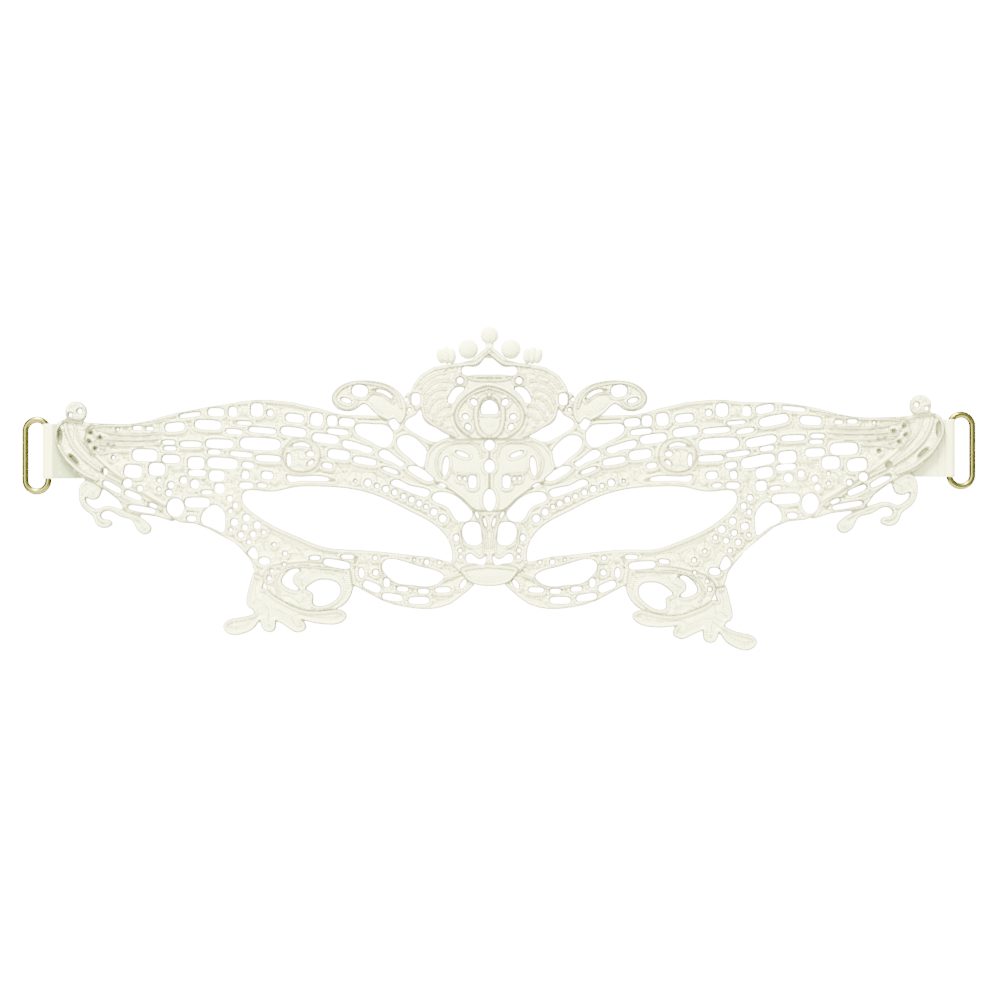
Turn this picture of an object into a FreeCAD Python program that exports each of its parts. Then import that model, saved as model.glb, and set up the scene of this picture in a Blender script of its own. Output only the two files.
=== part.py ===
import FreeCAD, Part
import math
import os

# Venetian half mask in stiffened lace, with two strap tabs and two wire rings.
# Units are mm. +X is the viewer's right, +Z is up, the front faces -Y.
# The back of the lace lies on y = 0. The origin is on the nose stem's back face.

laceThick = 1.2       # plain netted ground
motifThick = 1.6      # raised satin motifs
hingeAt = 77.5        # half distance between the two side folds
hingeGap = 0.15       # half of the cut between the panel and a wing
eyeScale = 1.0        # size of the eye openings about their own middles
wingStretch = 0.11    # the right wing is worked a little longer
wingLift = 2.0
cheekSag = 0.14
ringWire = 1.0        # wire radius
ringSlot = 20.0       # inside length of the ring
ringWide = 5.0        # inside width of the ring
tabThick = 1.0
boreGap = 0.08
tabStart = 118.0

os.makedirs("parts", exist_ok=True)


def clamp(v):
    return max(0.0, min(1.0, v))


def lay(side, d, z):
    # place a point of the half pattern on one side of the mask
    x = d
    if side > 0:
        far = max(0.0, d - hingeAt)
        x = d + wingStretch * far
        z = z + wingLift * clamp(far / 12) * clamp(z / 20)
        fade = 1 - clamp(far / 8) * clamp((z + 16) / 6)
        z = z - cheekSag * max(0.0, min(d, hingeAt) - 44) * clamp((14 - z) / 20) * fade
    return FreeCAD.Vector(side * x, 0, z)


def region(side, pts):
    # a flat face inside a smooth closed line
    curve = Part.BSplineCurve()
    curve.interpolate([lay(side, d, z) for d, z in pts], PeriodicFlag=True)
    return Part.Face(Part.Wire(curve.toShape()))


def flatShape(side, pts):
    # a flat face with straight edges
    line = [lay(side, d, z) for d, z in pts]
    return Part.Face(Part.makePolygon(line + [line[0]]))


def oval(side, d0, z0, d1, z1, w):
    # an ellipse from one end to the other with half width w
    a = lay(side, d0, z0)
    b = lay(side, d1, z1)
    mid = (a + b) * 0.5
    half = max((b - a).Length / 2, w * 1.001)
    along = (b - a).normalize() if (b - a).Length > 0.01 else FreeCAD.Vector(0, 0, 1)
    tip = mid + along * half
    wide = mid + along.cross(FreeCAD.Vector(0, 1, 0)) * w
    return Part.Face(Part.Wire(Part.Ellipse(tip, wide, mid).toShape()))


def slot(side, d0, z0, d1, z1, w):
    # a long opening with squared ends: full width w each way until close to its ends
    a = lay(side, d0, z0)
    b = lay(side, d1, z1)
    mid = (a + b) * 0.5
    along = (b - a) * 0.5
    wide = along.normalize().cross(FreeCAD.Vector(0, 1, 0)) * w
    along = (b - a) * 0.5
    pts = []
    for i in range(16):
        c = math.cos(2 * math.pi * (i + 0.5) / 16)
        r = math.sin(2 * math.pi * (i + 0.5) / 16)
        pts.append(mid + along * math.copysign(abs(c) ** 0.45, c) + wide * math.copysign(abs(r) ** 0.6, r))
    curve = Part.BSplineCurve()
    curve.interpolate(pts, PeriodicFlag=True)
    return Part.Face(Part.Wire(curve.toShape()))


def mirrored(pts):
    # a symmetrical outline from its right half, top to bottom
    left = [(-d, z) for d, z in reversed(pts) if d > 0.01]
    return pts + left


eyeLine = [(11.4, -3.4), (11.7, 0), (13, 3), (17, 7.2), (24, 11), (32, 15), (41, 17.8), (52, 18.8),
           (60, 18.5), (68, 17.2), (75.4, 16.4), (75.6, 15.2), (72.5, 11), (66, 6.8), (58, 3.2), (50, 0.2),
           (44, -0.4), (34, -1), (22, -2.3), (15, -3.5)]

centreOvals = [(0, 23.1, 0, 27, 1.6), (0, 30.2, 0, 32.7, 1.6), (0, 11.4, 0, 18, 1.9)]

rootOvals = [
    (9, 51, 9, 51.4, 1.0), (3.9, 43.7, 5.6, 45.4, 0.9), (6.3, 39.8, 8.2, 40.4, 0.8),
    (5.9, 36.2, 7.2, 37.8, 0.8),
    (25.4, 45.2, 25.4, 45.6, 0.6), (24.3, 42, 24.6, 42.6, 0.6), (42.2, 44.6, 45.4, 45.6, 0.7),
    (27.2, 22.6, 33, 24.7, 0.6), (13, 18.7, 15.8, 19.9, 0.4),
    (6.2, 27.9, 10.4, 29.5, 0.6), (13, 28, 13.8, 22, 0.9), (7.2, 20.3, 7.8, 22, 0.4),
    (8.8, 20.6, 9.6, 22, 0.4),
    (0.9, 6.2, 1.8, 9.6, 0.4), (3.3, 9, 4.4, 11.4, 0.4), (10.2, 2, 10.2, 4.2, 0.8),
    (9, -0.9, 9, -0.5, 0.6), (8.8, -2.9, 8.8, -2.5, 0.6), (7.2, -9.6, 8.9, -12.4, 0.7),
    (67, 41, 67, 41.6, 1.0), (53.5, 28.7, 56, 28.8, 0.8), (61.2, 24.8, 61.3, 29, 0.7),
    (53.5, 26.9, 55.9, 25.2, 0.5),
    (34.8, -8.2, 34.8, -6.8, 0.9), (39.1, -9.2, 39.2, -6, 0.8), (34.6, -3, 35.4, -3, 0.7),
    (67, -4, 70.6, -4, 1.1), (74.3, 8.4, 74.3, 10, 1.1), (71, 6.3, 71, 7.7, 1.1), (74.8, 5.7, 74.8, 6.9, 0.9),
    (72.3, 3.6, 72.3, 4.8, 0.9), (76, 3.4, 76, 4.6, 0.9), (73.5, 1.3, 73.5, 2.3, 0.7),
    (69, 4.2, 69, 5.4, 0.7),
    (62.5, -2.2, 62.5, -1.2, 0.7), (65.8, 0.6, 65.8, 1.4, 0.6), (62.7, -5.4, 62.7, -4.6, 0.6),
    (66.5, -7.3, 66.5, -6.7, 0.6), (67.3, -9.7, 67.3, -8.9, 0.7)]

rootSlots = [
    (22.5, 43.7, 22.5, 47.3, 1.3), (28.2, 36.4, 30.1, 39.2, 1.2), (5.2, 18.3, 5.2, 22.2, 1.2),
    (41.2, 38.2, 46, 38.6, 1.2), (48.1, 37.2, 48.1, 40.5, 1.5), (51, 39.1, 54.7, 39.5, 1.9),
    (56.8, 39.4, 62.3, 40, 1.2),
    (69.2, 42.2, 72.9, 42.2, 2.0), (43.1, 35.2, 49.6, 35.9, 0.8), (46.1, 32.9, 54.1, 34, 1.3),
    (56.1, 35, 63.8, 36, 1.3), (65.2, 35.6, 73.6, 36.3, 0.8), (42.7, 28.1, 49.4, 29, 1.4),
    (64, 31.5, 76.2, 32.1, 1.8), (34.6, 26, 41.6, 27.2, 1.0), (48, 24.9, 51.1, 25.5, 0.8),
    (63.8, 27.2, 71.5, 27.6, 0.9), (72, 25, 75.6, 25.6, 0.9), (66.2, 22, 69.7, 22.4, 1.1),
    (73.5, 22.2, 75.7, 22.4, 1.2),
    (68, 19, 71, 19.3, 0.6), (72.3, 19.1, 76.5, 19.1, 0.9), (11.9, -12.7, 16.6, -12.9, 0.75),
    (18.4, -13.2, 21.9, -13.2, 0.7), (24.8, -12.6, 28.4, -12.4, 0.7), (18.4, -16, 24.8, -16, 1.0),
    (26.6, -15.5, 32.8, -14.6, 1.0), (33.4, -12.9, 38.5, -10.7, 1.2), (31.3, -12, 31.6, -9.3, 0.9),
    (42.6, -5.6, 50.7, -4.1, 1.1), (51.7, -3, 55, -3, 0.6), (41.3, -2.7, 45.4, -2.6, 0.6)]

foldSlots = [
    (72.4, 38.1, 78.3, 38.4, 0.5), (75.4, 35.3, 80.6, 35.8, 0.7), (72.3, 28.3, 79.4, 29, 0.7),
    (77, 25.6, 86.2, 26.2, 1.6),
    (76.9, 7.8, 79, 7.9, 1.0), (76.8, 13, 78.4, 13, 0.9), (77.4, 41.6, 79.7, 41.7, 1.5)]

ladder = [(14.3, 9, 1.2), (17, 11, 1.1), (19.4, 12.6, 0.7), (21.5, 13.6, 0.9), (23.8, 14.8, 0.9),
          (26.3, 15.8, 0.8),
          (29, 17, 0.9), (31.7, 18, 1.0), (34.4, 19, 0.7), (37.2, 19.9, 1.1), (41, 20.5, 0.5),
          (15.4, -4.4, 0.6), (19.2, -4.3, 0.8), (23, -3.6, 0.5)]

rootCurves = [
    [(8, 49.1), (10.8, 48.7), (12.1, 47), (12.5, 44.4), (11.3, 44.2), (9.8, 46.4)],
    [(10.9, 33.7), (14, 33.4), (17, 32.5), (20, 33.6), (24, 35.9), (25.9, 38), (24.9, 39.4), (22, 41.3),
    (21.2, 42.8),
     (20.5, 40.2), (16.2, 36.6), (13, 34.7)],
    [(30, 36), (32, 37.6), (35, 37.8), (41.2, 36.8), (40.8, 35.4), (38, 33.5), (35, 31.8), (31, 31),
    (29.7, 33)],
    [(20, 31), (21.5, 32.5), (24, 34.2), (27, 34.2), (28.2, 33), (27.5, 30.3), (24.3, 27.5), (20.4, 25),
    (19.6, 27)],
    [(5.4, 11), (8, 14), (11, 16.2), (15, 17.1), (17.1, 16.4), (17.5, 15.3), (14, 13.2), (11.8, 11.2),
    (10.2, 8.7),
     (8.2, 8.1), (5.8, 9)],
    [(3.8, 7.8), (5.5, 8), (7.5, 7.3), (8.1, 6.3), (7.6, 2.4), (6, 1), (2.6, 1.6), (2.5, 4)],
    [(1.4, -2.3), (4, -3), (6.2, -1.7), (7.1, -2.4), (6.9, -4.2), (4, -4.7), (1.4, -4.6)],
    [(18.5, 17.6), (21, 18.4), (25, 19.3), (29.4, 20.7), (30.2, 20), (28, 18.6), (24, 17), (20.6, 15.8),
    (18.8, 16)],
    [(16.9, 21.2), (20, 23.7), (23.6, 25.1), (25, 24.7), (24.2, 23.4), (21, 21.4), (18, 20.6)],
    [(44.4, 32.9), (41.2, 32.3), (38, 31.2), (35.7, 30), (36.6, 29.1), (40.2, 30), (44.2, 30.7), (45, 31.8)],
    [(61.8, 22.4), (57, 21.8), (52.4, 22), (48.8, 21.3), (47.2, 20.7), (50, 20.5), (54, 20.5), (59, 20.4),
    (61.6, 20.8)],
    [(25.9, 26.2), (29, 28.1), (33.2, 29.8), (33.9, 29), (32, 27.1), (29, 25.9), (26.4, 25.2)],
    [(37.2, 47.4), (37.6, 49.2), (39.5, 49.9), (41.6, 49.4), (42, 47.4), (40.4, 46.3), (38.2, 46.2)],
    [(29.3, 45.6), (31, 47.6), (34, 48.5), (36, 48.3), (34, 47.7), (31.4, 46.6)],
    [(54.2, 30.7), (56, 32), (58.5, 32.2), (61.4, 31), (58.5, 31.2), (56, 31)],
    [(14.1, -8.3), (16, -7.1), (20, -6), (27, -3.9), (30.4, -3.4), (32.4, -4.2), (32.8, -6), (31, -8.7),
    (28.4, -10.6),
     (24, -11.2), (20, -11.7), (17, -11.3), (14.5, -9.6)],
    [(71.3, -0.6), (71.5, -3.4), (72.6, -2.9), (73.8, -1.5), (73.2, -0.4)],
    [(45.6, -13), (46.5, -10.8), (49, -9.8), (52, -9.8), (54.5, -11), (56, -12.5), (54.2, -13.6),
     (53.8, -15.2), (53.9, -16.9), (52, -17.7), (49, -17), (46.3, -15)],
    [(57.7, -6.6), (60, -6.4), (62.4, -8), (63.4, -10.5), (62, -11.9), (59.2, -12.9), (58, -12.8),
    (59.7, -11),
     (60.2, -9.3), (59, -7.6)]]

wingOvals = [
    (90, 18.4, 90, 20.6, 1.4), (93.5, 19.8, 93.5, 21.6, 1.1), (97.3, 18.4, 97.3, 20, 1.0),
    (101, 20.3, 101, 21.1, 0.6),
    (101, 17.5, 101, 18.4, 0.6), (98, 16, 98, 17.6, 1.0), (106.8, 17.4, 106.8, 19, 0.9),
    (110.6, 18.7, 110.6, 20.9, 1.4),
    (96, 9.6, 96, 15.2, 2.6), (89.5, 9, 92.6, 9, 0.9), (79.2, 10.6, 79.2, 12, 0.7),
    (79.4, 14.2, 79.4, 16, 0.9),
    (79.1, 5, 79.1, 6, 0.6), (119, 33.2, 119, 34.2, 0.6), (122.2, 32, 122.2, 33, 0.6),
    (121.6, 34.8, 122, 35.6, 0.6),
    (114.9, 27, 114.9, 28.2, 0.6), (120.5, 29.9, 120.5, 30.9, 0.6), (113, 36.3, 114.2, 36.3, 0.5),
    (117.5, 22.3, 117.5, 24.4, 0.9), (131.2, 31.8, 131.2, 36.6, 0.7), (125.4, 25.4, 128.4, 28.7, 0.6),
    (125.2, 41.2, 125.2, 42.4, 0.8), (128, 40.2, 128, 41.2, 0.7)]

wingSlots = [
    (81.1, 41.4, 86, 41.6, 1.2), (88.2, 41.1, 94.8, 40.2, 0.6), (82, 37.4, 90, 37.9, 1.4),
    (93.2, 37.2, 99.1, 36.7, 1.3),
    (102.5, 36.5, 105.1, 36.5, 0.5), (106.1, 36.7, 109.1, 36.7, 0.6), (78.3, 31.7, 86.7, 32, 1.3),
    (88, 31.7, 94.6, 31.8, 0.8), (96, 32.3, 100.1, 32.3, 0.6), (95.6, 30.4, 99.6, 30.5, 0.6),
    (82.1, 29.3, 86.1, 29.4, 0.7),
    (94.6, 27.1, 100, 27.3, 1.2), (87.2, 25.9, 92.2, 26, 1.8), (101.5, 28.2, 109.1, 28.5, 1.8),
    (81, 22, 85.7, 22.1, 1.6), (86.6, 22.9, 92.1, 23, 0.9), (99.2, 24, 104.1, 24.1, 1.9),
    (106.2, 23.1, 111.6, 23.8, 1.9),
    (81, 18.2, 84, 18.2, 1.5), (84.7, 17, 88.1, 17, 0.6), (85.5, 13.9, 93.1, 13.9, 1.5),
    (106.3, 15, 111.4, 17.2, 0.9),
    (112.6, 17.2, 118, 20.2, 0.9), (101.5, 12.5, 104.1, 13.5, 0.6), (102, 11.1, 110.4, 12.6, 0.8)]

wingCurves = [
    [(80.8, 9), (81.8, 11.9), (84, 13.2), (86, 12.4), (87.7, 10.5), (88, 7.9), (84.5, 6.1), (81.4, 4.8)]]

saddleLine = mirrored([(0, -4.9), (4, -5.2), (8.8, -7), (8, -8.2), (7, -9.5), (4.5, -11), (0, -11.6)])
stemLine = mirrored([(0, 13), (5, 12), (7.3, 9.4), (9.3, 8.2), (11.6, 5), (12.6, 2.8), (13, -3.2),
(11.5, -4.6),
                     (9, -7.2), (4, -6), (0, -6)])
medalLine = mirrored([(0, 49.4), (5, 47.8), (9, 44.5), (10.8, 40.5), (9.5, 36.5), (6, 33.7), (0, 33.3)])
shieldLine = mirrored([(0, 61.3), (2, 60.5), (5.5, 57.5), (8.8, 56.6), (12, 56.2), (17, 55.3), (21, 53),
                       (23.2, 50), (24.3, 47.2), (24.4, 44.5), (22.7, 42.3), (21, 39.7), (16.5, 36),
                       (13.4, 33.9),
                       (10, 33), (0, 33)])
heartLine = [(0.1, 33.5), (4, 33.4), (8, 34.4), (13, 34), (17, 32), (19.8, 28.5), (20.3, 25), (18.6, 21.8),
             (15.5, 19.4), (12, 17.8), (8, 14.8), (5, 11.8), (2.5, 11.2), (0.1, 11.2)]
curlLine = [(26.6, 38.4), (25.4, 41.5), (26.3, 46), (29.5, 49.2), (33, 50.6), (40, 51.2), (45.2, 49.8),
            (48.2, 46), (46.9, 42.9), (43.6, 41.8), (40.6, 42.6), (38.4, 44), (36, 42.2), (34.2, 40.6),
            (31, 38.9)]
browLine = [(4, 12), (9, 7), (12, 2), (30, 8), (60, 14), (77.35, 16), (77.35, 44.7), (72, 45.3), (68, 45.4),
            (64, 45), (60, 44.6), (56, 43.6), (52, 42.8), (48, 41.5), (44, 40.7), (34, 40.5), (28, 43.5),
            (25, 47.6),
            (22, 48), (19, 42), (10, 35)]
rosetteLine = [(57.4, 33.6), (61.4, 32.2), (63.2, 28.3), (61.4, 24.4), (57.4, 23.2), (53.4, 24.4),
(51.6, 28.3),
               (53.4, 32.2)]
rimLine = [(9.8, -2), (10.4, -5.6), (13, -6.6), (18, -5.8), (24, -4.4), (28, -3.4), (34, -3.4), (42, -2.5),
           (50, -1.7), (54, -0.2), (58, 1.4), (62, 3.2), (66, 4.9), (70, 7.4), (74, 10.8), (77.35, 14.4),
           (77.35, 16.6), (70, 14), (50, 6), (30, 3)]
loopLine = [(7.6, -7), (9, -5.6), (14, -4.8), (20, -4), (27, -2.6), (34, -2.4), (40, -2.4), (42.4, -7.4),
            (41.9, -11.2), (37, -13.8), (33, -16), (29, -17.4), (25, -18.2), (21, -18.7), (18, -18.7),
            (15, -18.2),
            (12, -17.2), (9, -15.1), (6, -12.6), (4.4, -11), (6, -10), (7.6, -8.4)]
netLine = [(41, -2), (54, 2), (66, 8), (77.35, 17), (77.35, 1.0), (76, -0.2), (74, -2.5), (72.9, -4),
(72.3, -6),
           (71.4, -8), (66, -10), (60, -9), (50, -9), (41.6, -9)]
scrollLine = [(42.8, -6.6), (41.5, -9.6), (41.6, -12), (42.9, -15.6), (46, -18.3), (50, -19), (54, -19.2),
              (58, -18.5), (62, -16.6), (66, -14.4), (68.6, -11), (69, -8.4), (67, -5.8), (62, -4.8),
              (56, -4.3),
              (50, -4.7)]
leafLines = [
    [(66, -13.6), (70.5, -13), (72, -16), (72, -19.5), (68.5, -21), (65, -19)],
    [(69, -14), (66, -18.6), (60, -21), (54, -22.8), (49, -23.4), (45, -22.6), (43.6, -20.6), (45.6, -18.8),
     (50, -19), (58, -18.4), (64, -15.5)],
    [(69, -17.5), (66, -21.6), (62, -24), (58.4, -25.8), (56, -24.4), (57, -22.2), (60, -20.3), (65, -17.4)],
    [(70, -18.6), (70, -22.4), (68.4, -25.4), (66, -25.4), (65.2, -22.4), (67, -18.6)],
    [(69.6, -17.8), (73.2, -20.5), (77, -21.3), (80.2, -22.2), (81.3, -23.9), (80.3, -25.8), (78.2, -26.6),
     (75, -26.1), (71.9, -24.4), (69.8, -21.8), (68.6, -20)],
    [(69.5, -7.4), (71.6, -7), (73, -10), (74, -14), (73.6, -18), (71.5, -18.8), (70, -15), (69, -11)]]
panelLine = [(77.65, 44.6), (84, 43.5), (88, 42.8), (92, 42), (96, 41.3), (100, 40.2), (104, 39), (108, 38.2),
             (112, 37.9), (121, 38.2), (124.5, 37.6), (124.6, 33), (122.6, 29), (119.5, 26), (116, 23),
             (111, 19.6), (105, 15.6), (100, 12), (97.2, 9), (94.5, 7.8), (90, 7.4), (86, 5.9), (81, 3.2),
             (77.65, 1.2)]
edgeLine = [(121, 38.2), (126, 38.8), (130, 39.4), (132, 38.2), (132.9, 35.5), (132.9, 33), (132, 30.6),
            (130.6, 28.2), (129, 25.8), (127, 23.4), (124.5, 21.4), (121, 20), (118.6, 18.5), (116, 16.7),
            (113.4, 14.6), (112.3, 12.9), (110.5, 10.9), (106, 10.2), (101.5, 9.6), (96.6, 8), (98, 12),
            (104, 15.6), (110, 19.6),
            (115, 23), (118.5, 26), (121.6, 29), (123.6, 33), (123, 36)]
sprigLine = [(119.6, 19.8), (122.4, 20.9), (124.6, 19.8), (125.5, 17.5), (125.4, 15), (124.6, 12.8),
(123, 11.1),
             (121.2, 9.7), (120.4, 7.7), (118.8, 6.3), (116.6, 6.3), (115.2, 7.5), (116.2, 8.7), (118, 8.9),
             (118.7, 10), (118, 11), (116.6, 11.4), (114.6, 10.6), (112.3, 9.4), (109.2, 8.4), (108.2, 6.6),
             (106.9, 4.8), (105.2, 4.1), (103.6, 5), (103.3, 6.4), (104.4, 7.8), (106.6, 9.4), (109.4, 10.6),
             (112.4, 11.8), (114.2, 12.4), (116.3, 12.9), (118.2, 12.6), (120.2, 12), (122, 12.9),
             (123.2, 14.3),
             (123.3, 15.4), (122.4, 15.1), (121.2, 14.7), (119.6, 15.2), (118.7, 16.8), (118.5, 18.4)]


done = {}


def save(node, shape):
    shape.exportStep("parts/" + node + ".step")
    done[node] = shape


def solidFrom(flat, thick):
    # raise a flat region towards the front and leave out loose crumbs
    faces = [f for f in flat.Faces if f.Area > 1.0]
    lumps = [f.extrude(FreeCAD.Vector(0, -thick, 0)) for f in faces]
    return lumps[0] if len(lumps) == 1 else Part.makeCompound(lumps)


def cutWindows(side, ovals, slots, curves):
    tools = [oval(side, *o) for o in ovals]
    tools += [slot(side, *o) for o in slots]
    tools += [region(side, c) for c in curves]
    return tools


def eyeWindow(side):
    midD = 43.5
    midZ = 7.5
    pts = [(midD + (d - midD) * eyeScale, midZ + (z - midZ) * eyeScale) for d, z in eyeLine]
    return region(side, pts)


windows = [
    region(1, mirrored([(0, 58.7), (2.6, 56.6), (4.6, 55.4), (8.4, 54.9), (8.4, 53.6), (4, 53), (0, 53)])),
    region(1, mirrored([(0, 45.2), (1.8, 44.4), (2.6, 42.6), (2.4, 41.2), (0, 41)]))]
for o in centreOvals:
    windows.append(oval(1, *o))
for side in (-1, 1):
    windows += cutWindows(side, rootOvals, rootSlots + foldSlots, rootCurves)
    windows += [oval(side, d, z - r, d, z + r, r * 0.95) for d, z, r in ladder]
    windows.append(eyeWindow(side))

# node, outline faces, thickness: an earlier motif keeps the ground that a later one shares with it
motifs = [
    ("nose_saddle", [region(1, saddleLine)], motifThick),
    ("crown_medallion", [region(1, medalLine)], motifThick),
    ("crown_shield", [flatShape(1, shieldLine)], motifThick)]
for side, word in ((-1, "left"), (1, "right")):
    motifs.append(("heart_scroll_" + word, [flatShape(side, heartLine)], motifThick))
motifs.append(("nose_stem", [flatShape(1, stemLine)], motifThick))
for side, word in ((-1, "left"), (1, "right")):
    motifs.append(("brow_curl_" + word, [region(side, curlLine)], motifThick))
    motifs.append(("brow_rosette_" + word, [region(side, rosetteLine)], motifThick))
    motifs.append(("brow_band_" + word, [flatShape(side, browLine)], laceThick))
    motifs.append(("lower_rim_" + word, [flatShape(side, rimLine)], laceThick))
    motifs.append(("under_eye_loop_" + word, [flatShape(side, loopLine)], laceThick))
    motifs.append(("cheek_scroll_" + word, [region(side, scrollLine)], motifThick))
    motifs.append(("cheek_net_" + word, [flatShape(side, netLine)], laceThick))
    motifs.append(("cheek_leaves_" + word, [region(side, line) for line in leafLines], motifThick))


def workMotifs(rows, holes):
    taken = []
    for node, outlines, thick in rows:
        flat = outlines[0]
        if len(outlines) > 1:
            flat = outlines[0].fuse(outlines[1:]).removeSplitter()
        box = flat.BoundBox
        near = [s for s in taken + holes if s.BoundBox.intersect(box)]
        if near:
            flat = flat.cut(near)
        save(node, solidFrom(flat, thick))
        taken += outlines


workMotifs(motifs, windows)

# crown beads stand along the top edge of the shield
beads = []
for d, z, r in ((0, 65, 2.7), (6.5, 60.6, 3.0), (-6.5, 60.6, 3.0), (13.2, 58.8, 2.9), (-13.2, 58.8, 2.9)):
    beads.append(Part.makeCylinder(r, motifThick + 0.4, FreeCAD.Vector(d, 0, z), FreeCAD.Vector(0, -1, 0)))
beads.append(Part.makeBox(2.4, motifThick, 6, FreeCAD.Vector(-1.2, -motifThick, 59.5)))
crownBeads = beads[0].fuse(beads[1:]).cut(done["crown_shield"])
save("crown_beads", crownBeads)

# ring, tab and seam at each end
for side, word in ((-1, "left"), (1, "right")):
    wing = [
        ("wing_edge_" + word, [flatShape(side, edgeLine)], motifThick),
        ("wing_panel_" + word, [flatShape(side, panelLine)], laceThick),
        ("wing_curl_" + word, [oval(side, 126.3, 38.2, 126.3, 44.8, 3.3)], motifThick),
        ("tip_sprig_" + word, [region(side, sprigLine)], motifThick)]
    workMotifs(wing, cutWindows(side, wingOvals, wingSlots + foldSlots, wingCurves))

    legX = 135.3 if side < 0 else 141.0
    ringZ = 28.3 if side < 0 else 29.9
    tabLow = 21.3 if side < 0 else 21.8
    tabHigh = 38.0 if side < 0 else 39.4
    legY = ringWire + boreGap + 0.5
    midR = ringWide / 2 + ringWire
    straight = ringSlot - ringWide
    half = straight / 2

    # one bent wire, closed in a long loop
    outX = side * (legX + 2 * midR)
    midX = side * (legX + midR)
    low = FreeCAD.Vector(side * legX, legY, ringZ - half)
    high = FreeCAD.Vector(side * legX, legY, ringZ + half)
    farHigh = FreeCAD.Vector(outX, legY, ringZ + half)
    farLow = FreeCAD.Vector(outX, legY, ringZ - half)
    wire = Part.Wire([
        Part.LineSegment(low, high).toShape(),
        Part.Arc(high, FreeCAD.Vector(midX, legY, ringZ + half + midR), farHigh).toShape(),
        Part.LineSegment(farHigh, farLow).toShape(),
        Part.Arc(farLow, FreeCAD.Vector(midX, legY, ringZ - half - midR), low).toShape()])
    section = Part.Wire(Part.makeCircle(ringWire, low, FreeCAD.Vector(0, 0, 1)))
    save("ring_" + word, wire.makePipeShell([section], True, False))

    # the tab lies on the lace's back and folds round the inner leg of the ring
    outer = ringWire + boreGap + 0.5
    foldLow = max(tabLow, ringZ - half + 0.2)
    foldHigh = min(tabHigh, ringZ + half - 0.2)
    flatLong = legX - outer - 0.1 - tabStart
    startX = tabStart if side > 0 else -tabStart - flatLong
    strip = Part.makeBox(flatLong, tabThick, tabHigh - tabLow, FreeCAD.Vector(startX, 0, tabLow))
    corners = [(legX, 0), (legX, 2 * outer), (legX - 5, tabThick), (legX - 5, 0)]
    line = [FreeCAD.Vector(side * x, y, foldLow) for x, y in corners]
    wedge = Part.Face(Part.makePolygon(line + [line[0]])).extrude(FreeCAD.Vector(0, 0, foldHigh - foldLow))
    roll = Part.makeCylinder(outer, foldHigh - foldLow, FreeCAD.Vector(side * legX, legY, foldLow))
    bore = Part.makeCylinder(ringWire + boreGap, 60, FreeCAD.Vector(side * legX, legY, ringZ - 30))
    save("tab_" + word, strip.fuse([wedge, roll]).cut(bore).removeSplitter())

    # two rows of stitches hold the tab to the lace
    stitches = []
    for row in (119.2, 126.5):
        for i in range(4):
            z = tabLow + 1.6 + 3.9 * i
            x = side * row - 0.2
            stitches.append(Part.makeBox(0.4, 0.3, 2.4, FreeCAD.Vector(x, tabThick - 0.05, z)))
            for foot in (z, z + 2.0):
                stitches.append(Part.makeBox(0.4, tabThick + 0.6, 0.4, FreeCAD.Vector(x, -0.6, foot)))
    save("tab_seam_" + word, stitches[0].fuse(stitches[1:]))

for node in sorted(done):
    s = done[node]
    print(node, "valid" if s.isValid() else "BROKEN", len(s.Solids), "solids", round(s.Volume, 1), "mm3")
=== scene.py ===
import math
import random

import bmesh
import bpy
import numpy as np
from mathutils import noise, Matrix, Vector
from mathutils.geometry import interpolate_bezier
from mathutils.kdtree import KDTree


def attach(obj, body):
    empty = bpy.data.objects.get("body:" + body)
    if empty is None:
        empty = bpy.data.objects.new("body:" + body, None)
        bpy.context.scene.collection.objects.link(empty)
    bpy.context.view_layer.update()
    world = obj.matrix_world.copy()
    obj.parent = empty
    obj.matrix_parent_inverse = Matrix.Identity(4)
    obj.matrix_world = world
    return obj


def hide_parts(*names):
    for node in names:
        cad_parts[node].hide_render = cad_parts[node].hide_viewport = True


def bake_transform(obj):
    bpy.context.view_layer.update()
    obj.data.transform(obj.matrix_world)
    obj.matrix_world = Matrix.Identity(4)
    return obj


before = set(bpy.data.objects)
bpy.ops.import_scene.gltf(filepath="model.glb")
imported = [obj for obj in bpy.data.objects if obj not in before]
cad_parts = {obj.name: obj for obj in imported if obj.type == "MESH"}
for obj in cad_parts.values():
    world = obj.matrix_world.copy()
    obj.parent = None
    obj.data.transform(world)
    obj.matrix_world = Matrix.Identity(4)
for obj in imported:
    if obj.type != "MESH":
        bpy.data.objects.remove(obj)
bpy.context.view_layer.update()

mm = 0.001
sides = (("left", -1), ("right", 1))
hingeX = 77.5
random.seed(11)


def keepMesh(bm, name, smooth=True):
    # put a finished bmesh into the scene as an object at the origin
    mesh = bpy.data.meshes.new(name)
    bm.to_mesh(mesh)
    bm.free()
    for face in mesh.polygons:
        face.use_smooth = smooth
    piece = bpy.data.objects.new(name, mesh)
    bpy.context.scene.collection.objects.link(piece)
    return piece


def wearFinish(piece, finish):
    piece.data.materials.clear()
    piece.data.materials.append(finish)


# shader helpers: sums on sockets become Math nodes

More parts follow.
